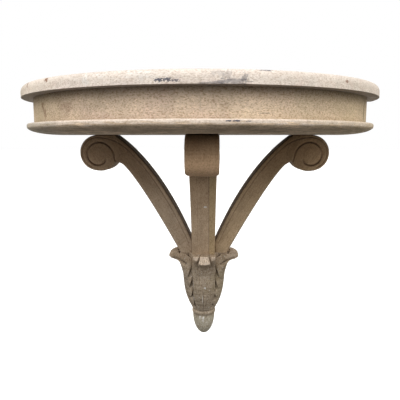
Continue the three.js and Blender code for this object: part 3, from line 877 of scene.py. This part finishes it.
def mark_facet(piece, form, sizes):
    """Keeps the yellowed facet on the right of the centre arm and the dark line along it."""
    flat, side = side_view(places(piece.data), form.turn)
    on_arm = form.facet * fade(-flat[:, 1], -SCROLL_BOTTOM, FACET_FADE - SCROLL_BOTTOM)
    beyond = fade(-side, sizes.front_line, sizes.front_line + FACET_SOFT)
    near = np.abs(side + sizes.front_line)
    set_attribute(piece.data, "facet", on_arm * beyond)
    set_attribute(piece.data, "facet_line", on_arm * np.exp(-(near / FACET_LINE_WIDTH) ** 2))


def bed_foot(piece, sizes):
    """Runs the foot of an arm down into the pendant, so that no seam shows between them."""
    rows = places(piece.data)
    above = fade(rows[:, 2], SEAT_Z, SEAT_Z + 2 * sizes.foot_bed)
    rows[:, 2] -= sizes.foot_bed * (1 - above)
    set_places(piece.data, rows)


# Pendant, carved by its front view

# Flutes on the front leaf: angle from its middle, and the shares of its height where each starts and ends
FLUTES = (
    (0.0, -0.1, 0.55), (-0.36, 0.3, 0.75), (0.3, 0.62, 1.15), (-0.3, 0.66, 1.15),
    (0.5, 0.45, 1.15), (-0.52, 0.4, 1.15), (0.17, 0.0, 0.4), (-0.16, 0.7, 1.1),
)
FLUTE_SPREAD = 0.5
FLUTE_FADE = 0.14
PENDANT_SMOOTHING = 2
LEAF_BOTTOM = PENDANT_LOW.z + 70 * MM
LEAF_TOP = PENDANT_HIGH.z - 45 * MM
LEAF_EDGE = 27 * MM
TIP_FRONT = 72 * MM
TIP_FADE = 6 * MM
TIP_MIDDLE_X = SUPPORT_X + 2.6 * MM
TIP_MIDDLE_Z = SEAT_Z - 4 * MM
TIP_SLOT_PLACE = 12.5 * MM
TIP_SLOT_REACH = 6 * MM
TIP_SLOT_CLOSE = 0.55
TIP_SLOT_LEAN = 0.3
BARE_TIP = (79 * MM, 82 * MM)
CURL_ROOT = 50 * MM
CURL_BODY = 64 * MM
CURL_REACH = 44 * MM
CURL_MIDDLE_Z = PENDANT_HIGH.z - 17.5 * MM
CURL_THINNING = 0.32
CURL_BELOW = 5 * MM
CURL_BACK = (0.1, 0.6)
CREASE_FACING = 0.15

# The crease under a curl: start, bend and end, each by its distance from the middle and its height
CREASE = np.array([(71, -337.5), (57, -338.5), (42, -349)]) * MM


def close_tip_slots(piece):
    """Narrows the slots between the three lobes of the front leaf's tip, and spreads them below."""
    rows = places(piece.data)
    on_tip = fade(AXIS_Y - rows[:, 1], TIP_FRONT - TIP_FADE, TIP_FRONT)
    for side in (-1, 1):
        away = rows[:, 0] - (TIP_MIDDLE_X + side * TIP_SLOT_PLACE)
        near = on_tip * np.exp(-(away / TIP_SLOT_REACH) ** 2)
        lean = side * TIP_SLOT_LEAN * (TIP_MIDDLE_Z - rows[:, 2])
        rows[:, 0] += near * (lean - TIP_SLOT_CLOSE * away)
    set_places(piece.data, rows)


def thin_curls(piece):
    """Thins the outer ends of the two curls from above and below, as worn wings."""
    rows = places(piece.data)
    share = CURL_THINNING * fade(np.abs(rows[:, 0] - SUPPORT_X), CURL_ROOT, CURL_BODY)
    share *= fade(rows[:, 2], CURL_MIDDLE_Z - CURL_REACH, CURL_MIDDLE_Z - CURL_REACH / 2)
    rows[:, 2] += share * (CURL_MIDDLE_Z - rows[:, 2])
    set_places(piece.data, rows)


def crease_curls(piece, sizes):
    """Cuts the dark crease that parts each curl from the side leaf below it."""
    rows = places(piece.data)
    facing = normals(piece.data)
    flat = np.stack([np.abs(rows[:, 0] - SUPPORT_X), rows[:, 2]], axis=1)
    in_front = facing[:, 1] < -CREASE_FACING
    near, _ = distance_to(flat[in_front], bent_line(*CREASE, np.linspace(0, 1, LINE_STEPS)))
    cut = np.zeros(len(rows))
    cut[in_front] = sizes.crease_depth * np.exp(-(near / sizes.crease_width) ** 2)
    set_places(piece.data, rows - facing * cut[:, None])


def carve_leaf(piece, sizes):
    """Cuts short flutes into the front leaf that spread towards its tip."""
    rows = places(piece.data)
    across = rows[:, 0] - SUPPORT_X
    out = AXIS_Y - rows[:, 1]
    angle = np.arctan2(across, out)
    radius = np.hypot(across, out)
    rise = (rows[:, 2] - LEAF_BOTTOM) / (LEAF_TOP - LEAF_BOTTOM)
    spread = 1 + FLUTE_SPREAD * (rise - 0.5) * np.abs(rise - 0.5)
    cut = np.zeros(len(rows))
    for flute, low, high in FLUTES:
        near = np.abs(angle - flute * spread) * radius
        ends = fade(rise, low, low + FLUTE_FADE) * fade(-rise, -high, FLUTE_FADE - high)
        cut = np.maximum(cut, np.exp(-(near / sizes.flute_width) ** 2) * ends)
    cut *= np.abs(angle) * radius < LEAF_EDGE
    set_places(piece.data, rows - normals(piece.data) * (sizes.flute_depth * cut)[:, None])


def draw_in_curls(piece, sizes):
    """Draws the backs of the leaves' curls in to the arms that they lie against."""
    rows = places(piece.data)
    radial = rows[:, :2] - np.array([SUPPORT_X, AXIS_Y])
    radial /= np.maximum(np.linalg.norm(radial, axis=1, keepdims=True), WELD)
    inward = -(normals(piece.data)[:, :2] * radial).sum(axis=1)
    beside_arm = fade(rows[:, 2], SEAT_Z - CURL_BELOW, SEAT_Z)
    rows[:, :2] -= radial * (sizes.curl_draw * fade(inward, *CURL_BACK) * beside_arm)[:, None]
    set_places(piece.data, rows)


def mark_bare_tip(piece):
    """Keeps where the front leaf's broken tip shows raw wood."""
    set_attribute(piece.data, "bare", fade(AXIS_Y - places(piece.data)[:, 1], *BARE_TIP))


# Operators

class CONSOLE_OT_top_board(bpy.types.Operator):
    """Makes the top board, rounded over on its upper edge"""

    bl_idname = "console.top_board"
    bl_label = "Top Board"

    def execute(self, context):
        sizes = settings(context).boards
        edge = TOP_HIGH.x
        rim = [(edge - TOP_ARRIS_RUN, TOP_LOW.z), (edge, TOP_LOW.z + TOP_ARRIS_RISE)]
        rim += [(edge, TOP_LOW.z + height) for height in TOP_EDGE_RINGS]
        rim += arc(
            edge - sizes.top_round_run, TOP_HIGH.z - sizes.top_round_rise,
            sizes.top_round_run, sizes.top_round_rise, 0, 90, TOP_ROUND_STEPS,
        )
        board = oval_board("top_shelf", edge, rim, sizes.rim_sides)
        wear_rim(board, edge, TOP_WEAR_REACH, sizes.edge_wear, TOP_WEAR_SEED)
        finish_piece(board, "top_board", limed_top_wood(settings(context).colours))
        return {"FINISHED"}


class CONSOLE_OT_frieze(bpy.types.Operator):
    """Makes the plain upright frieze"""

    bl_idname = "console.frieze"
    bl_label = "Frieze"

    def execute(self, context):
        edge = FRIEZE_HIGH.x
        rise = FRIEZE_HIGH.z - FRIEZE_LOW.z
        rim = [(edge, FRIEZE_LOW.z + rise * i / FRIEZE_STEPS) for i in range(FRIEZE_STEPS + 1)]
        board = oval_board("frieze_band", edge, rim, settings(context).boards.rim_sides)
        finish_piece(board, "frieze", bleached_frieze_wood(settings(context).colours))
        return {"FINISHED"}


class CONSOLE_OT_lower_board(bpy.types.Operator):
    """Makes the lower board with its worn lip and thumb-shaped underside"""

    bl_idname = "console.lower_board"
    bl_label = "Lower Board"

    def execute(self, context):
        sizes = settings(context).boards
        edge = LOWER_HIGH.x
        rim = arc(
            edge - sizes.thumb_run, LOWER_LOW.z + sizes.thumb_rise,
            sizes.thumb_run, sizes.thumb_rise, -90, 0, THUMB_STEPS,
        )
        rim += arc(
            edge - sizes.lip_round, LOWER_HIGH.z - sizes.lip_round,
            sizes.lip_round, sizes.lip_round, 0, 90, LIP_STEPS,
        )
        board = oval_board("moulded_board", edge, rim, sizes.rim_sides)
        wear_rim(board, edge, LIP_WEAR_REACH, sizes.lip_wear, LIP_WEAR_SEED)
        finish_piece(board, "lower_board", worn_lower_wood(settings(context).colours))
        return {"FINISHED"}


class CONSOLE_OT_brackets(bpy.types.Operator):
    """Makes the three scroll brackets"""

    bl_idname = "console.brackets"
    bl_label = "Scroll Brackets"

    def execute(self, context):
        sizes = settings(context).carving
        colours = settings(context).colours
        for form in BRACKETS:
            piece = carved_copy(form.node, form.name, sizes.grid, BRACKET_SMOOTHING)
            soften_edges(piece, form)
            round_corners(piece, form, sizes)
            carve_bracket(piece, form, sizes)
            mark_hollows(piece, sizes.grid)
            mark_grime_and_shade(piece, form)
            mark_facet(piece, form, sizes)
            bed_foot(piece, sizes)
            finish_piece(piece, form.node, weathered_bracket_wood(colours, form))
        return {"FINISHED"}


class CONSOLE_OT_leaf_pendant(bpy.types.Operator):
    """Makes the leaf pendant with its collar and acorn"""

    bl_idname = "console.leaf_pendant"
    bl_label = "Leaf Pendant"

    def execute(self, context):
        sizes = settings(context).carving
        piece = carved_copy("leaf_pendant", "acanthus_pendant", sizes.grid, PENDANT_SMOOTHING)
        close_tip_slots(piece)
        thin_curls(piece)
        crease_curls(piece, sizes)
        carve_leaf(piece, sizes)
        mark_hollows(piece, sizes.grid)
        draw_in_curls(piece, sizes)
        mark_bare_tip(piece)
        finish_piece(piece, "leaf_pendant", carved_pendant_wood(settings(context).colours))
        return {"FINISHED"}


FLOOR_SIDES = 64
FLOOR_RADIUS = 60
SENSOR_WIDTH = 36
WALL_SIDE_START = -0.05
WALL_SIDE_FULL = 0.25
HORIZON_START = -0.08


class CONSOLE_OT_stage(bpy.types.Operator):
    """Sets the floor, the soft light and the camera"""

    bl_idname = "console.stage"
    bl_label = "Stage"

    def execute(self, context):
        stage = settings(context).stage
        self.lay_floor(context, stage)
        self.light(context, stage)
        deselect()
        bpy.ops.object.camera_add(
            location=(stage.camera_x, -stage.camera_y, stage.camera_z),
            rotation=(math.pi / 2 - stage.pitch, 0, stage.yaw),
        )
        camera = context.object
        camera.data.sensor_width = SENSOR_WIDTH
        camera.data.lens = stage.lens
        context.scene.camera = camera
        context.scene.view_settings.view_transform = "Standard"
        return {"FINISHED"}

    def lay_floor(self, context, stage):
        """A plain pale floor far below, which throws no light back up."""
        deselect()
        height = PENDANT_LOW.z - stage.floor_drop
        bpy.ops.mesh.primitive_circle_add(
            vertices=FLOOR_SIDES, radius=FLOOR_RADIUS, fill_type="NGON", location=(0, 0, height)
        )
        floor = context.object
        floor.name = "floor"
        floor.visible_diffuse = False
        floor.data.materials.append(floor_finish(settings(context).colours))

    def light(self, context, stage):
        """Soft overcast light: brightest overhead, dim from below and from the wall's side."""
        world = bpy.data.worlds.new("Soft studio light")
        context.scene.world = world
        world.use_nodes = True
        tree = world.node_tree
        ray = add(tree, "ShaderNodeTexCoord").outputs["Generated"]
        across, away, up = add(tree, "ShaderNodeSeparateXYZ", {0: ray}).outputs
        shares = (
            {"Value": up, "To Min": stage.horizon, "To Max": stage.sky},
            {"Value": away, "From Min": WALL_SIDE_START, "From Max": WALL_SIDE_FULL,
             "To Min": 1, "To Max": stage.behind},
            {"Value": across, "From Min": -1, "From Max": 1,
             "To Min": 1 + stage.left, "To Max": 1 - stage.left},
        )
        above = 1.0
        for share in shares:
            part = add(tree, "ShaderNodeMapRange", share).outputs[0]
            above = add(tree, "ShaderNodeMath", {0: above, 1: part}, operation="MULTIPLY").outputs[0]
        rising = {"Value": up, "From Min": HORIZON_START, "From Max": 0}
        upward = add(tree, "ShaderNodeMapRange", rising).outputs[0]
        below = (stage.ground, stage.ground, stage.ground, 1)
        light = add(tree, "ShaderNodeMix", {0: upward, MIX_A: below, MIX_B: above}, data_type="RGBA")
        seen = add(tree, "ShaderNodeLightPath").outputs["Is Camera Ray"]
        backdrop = {0: seen, MIX_A: light.outputs[MIX_OUT], MIX_B: WHITE}
        tone = add(tree, "ShaderNodeMix", backdrop, data_type="RGBA").outputs[MIX_OUT]
        tree.links.new(tone, tree.nodes["Background"].inputs["Color"])


class CONSOLE_PT_panel(bpy.types.Panel):
    """Lists the console's settings and the steps that make it."""

    bl_label = "Carved Wall Console"
    bl_idname = "CONSOLE_PT_panel"
    bl_space_type = "VIEW_3D"
    bl_region_type = "UI"
    bl_category = "Console"

    def draw(self, context):
        console = settings(context)
        for operator in OPERATORS:
            self.layout.operator(operator.bl_idname)
        for group in (console.boards, console.carving, console.colours, console.stage):
            box = self.layout.box()
            for key in group.__annotations__:
                box.prop(group, key)


class ConsoleSettings(bpy.types.PropertyGroup):
    """All settings of the console."""

    boards: bpy.props.PointerProperty(type=ConsoleBoardSizes, name="Boards")
    carving: bpy.props.PointerProperty(type=ConsoleCarvingSizes, name="Carving")
    colours: bpy.props.PointerProperty(type=ConsoleColours, name="Colours")
    stage: bpy.props.PointerProperty(type=ConsoleStageSizes, name="Stage")


OPERATORS = (
    CONSOLE_OT_top_board, CONSOLE_OT_frieze, CONSOLE_OT_lower_board,
    CONSOLE_OT_brackets, CONSOLE_OT_leaf_pendant, CONSOLE_OT_stage,
)
CLASSES = (
    ConsoleBoardSizes, ConsoleCarvingSizes, ConsoleColours, ConsoleStageSizes, ConsoleSettings,
    *OPERATORS, CONSOLE_PT_panel,
)


def register():
    """Adds the console's classes and settings to Blender."""
    for cls in CLASSES:
        bpy.utils.register_class(cls)
    bpy.types.Scene.carved_console = bpy.props.PointerProperty(type=ConsoleSettings)


def unregister():
    """Takes the console's classes and settings away again."""
    del bpy.types.Scene.carved_console
    for cls in reversed(CLASSES):
        bpy.utils.unregister_class(cls)


def main():
    """Makes the console piece by piece, then the stage."""
    register()
    bpy.ops.console.top_board()
    bpy.ops.console.frieze()
    bpy.ops.console.lower_board()
    bpy.ops.console.brackets()
    bpy.ops.console.leaf_pendant()
    bpy.ops.console.stage()


if __name__ == "__main__":
    main()
